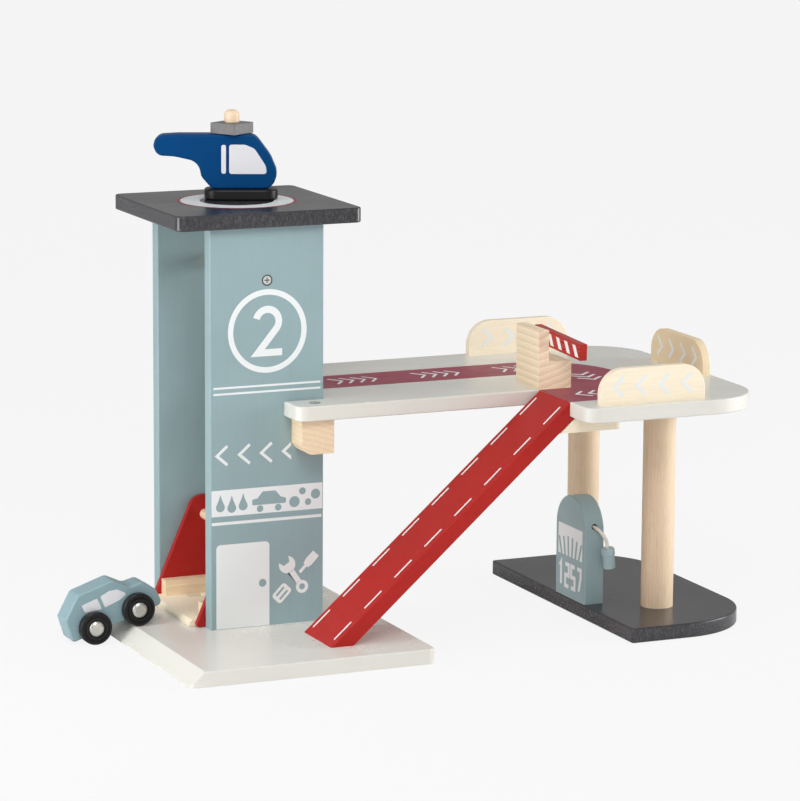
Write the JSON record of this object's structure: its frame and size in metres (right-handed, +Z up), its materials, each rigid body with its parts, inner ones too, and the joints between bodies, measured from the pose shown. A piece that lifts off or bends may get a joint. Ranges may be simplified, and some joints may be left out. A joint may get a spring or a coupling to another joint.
{
  "type": "toy parking garage",
  "caption": "Wooden toy parking garage: tower with a car lift, raised deck on pillars, ramp, swinging barrier, fuel pump with hose, and a small car and helicopter.",
  "frame": {"origin": "centre of the underside of the tower's base board", "axes": "+X from the tower along the deck to its far end, -Y towards the ramp side, +Z up"},
  "size_m": [0.6738, 0.336, 0.519],
  "materials": {
    "white_lacquer": "satin lacquer",
    "black_lacquer": "gloss lacquer",
    "grey_blue_lacquer": "satin lacquer",
    "red_lacquer": "satin lacquer",
    "blue_lacquer": "satin lacquer",
    "beech": "bare, sanded",
    "pine": "bare, sanded",
    "birch_ply": "bare, sanded",
    "steel": "zinc plated",
    "wheel_black": "satin",
    "cord": "cotton"
  },
  "bodies": {
    "garage": {"base_board": "white_lacquer", "deck_board": "white_lacquer", "foot_board": "black_lacquer", "roof_board": "black_lacquer", "tower_panel_front": "grey_blue_lacquer", "tower_panel_back": "grey_blue_lacquer", "pump_body": "grey_blue_lacquer", "pump_nozzle": "grey_blue_lacquer", "ramp": "red_lacquer", "pillar_front": "beech", "pillar_rear": "beech", "tower_cross_dowel": "beech", "barrier_post": "pine", "deck_bracket_front": "pine", "deck_bracket_back": "pine", "rail_front": "birch_ply", "rail_back": "birch_ply", "rail_far": "birch_ply", "ramp_spacer_upper": "birch_ply", "ramp_spacer_lower": "birch_ply", "tower_screw_front": "steel", "tower_screw_back": "steel", "deck_screw_front": "steel", "deck_screw_back": "steel", "barrier_pin": "steel", "pump_hose": "cord"},
    "lift": {"lift_plate_front": "red_lacquer", "lift_plate_back": "red_lacquer", "lift_floor": "birch_ply", "lift_curb_front": "pine", "lift_curb_back": "pine", "lift_dowel": "beech"},
    "barrier": {"barrier_arm": "red_lacquer"},
    "helicopter": {"helicopter_body": "blue_lacquer", "helicopter_skid": "black_lacquer", "helicopter_mast": "beech"},
    "rotor": {"helicopter_rotor": "black_lacquer"},
    "car": {"car_body": "grey_blue_lacquer"},
    "car_front_wheels": {"car_axle_front": "steel", "car_wheel_front_left": "wheel_black", "car_wheel_front_right": "wheel_black", "car_cap_front_left": "steel", "car_cap_front_right": "steel"},
    "car_rear_wheels": {"car_axle_rear": "steel", "car_wheel_rear_left": "wheel_black", "car_wheel_rear_right": "wheel_black", "car_cap_rear_left": "steel", "car_cap_rear_right": "steel"}
  },
  "joints": [
    {"name": "lift_travel", "type": "slide", "parent": "garage", "child": "lift", "axis": [0, 0, 1], "range_m": [0, 0.2182]},
    {"name": "barrier_swing", "type": "hinge", "parent": "garage", "child": "barrier", "pos_m": [0.3033, -0.028, 0.2918], "axis": [-1, 0, 0], "range_deg": [-25, 92]},
    {"name": "helicopter_lift_off", "type": "slide", "parent": "garage", "child": "helicopter", "axis": [0, 0, 1], "range_m": [0, 0.15]},
    {"name": "rotor_spin", "type": "hinge", "parent": "helicopter", "child": "rotor", "pos_m": [0.01026, 0.07987, 0.5], "axis": [0, 0, 1], "continuous": true},
    {"name": "car_lift_off", "type": "slide", "parent": "garage", "child": "car", "axis": [0, 0, 1], "range_m": [0, 0.1]},
    {"name": "car_front_axle_turn", "type": "hinge", "parent": "car", "child": "car_front_wheels", "pos_m": [-0.10873, 0.0505, 0.0318], "axis": [0, 1, 0], "continuous": true},
    {"name": "car_rear_axle_turn", "type": "hinge", "parent": "car", "child": "car_rear_wheels", "pos_m": [-0.1538, 0.0505, 0.0168], "axis": [0, 1, 0], "continuous": true}
  ]
}
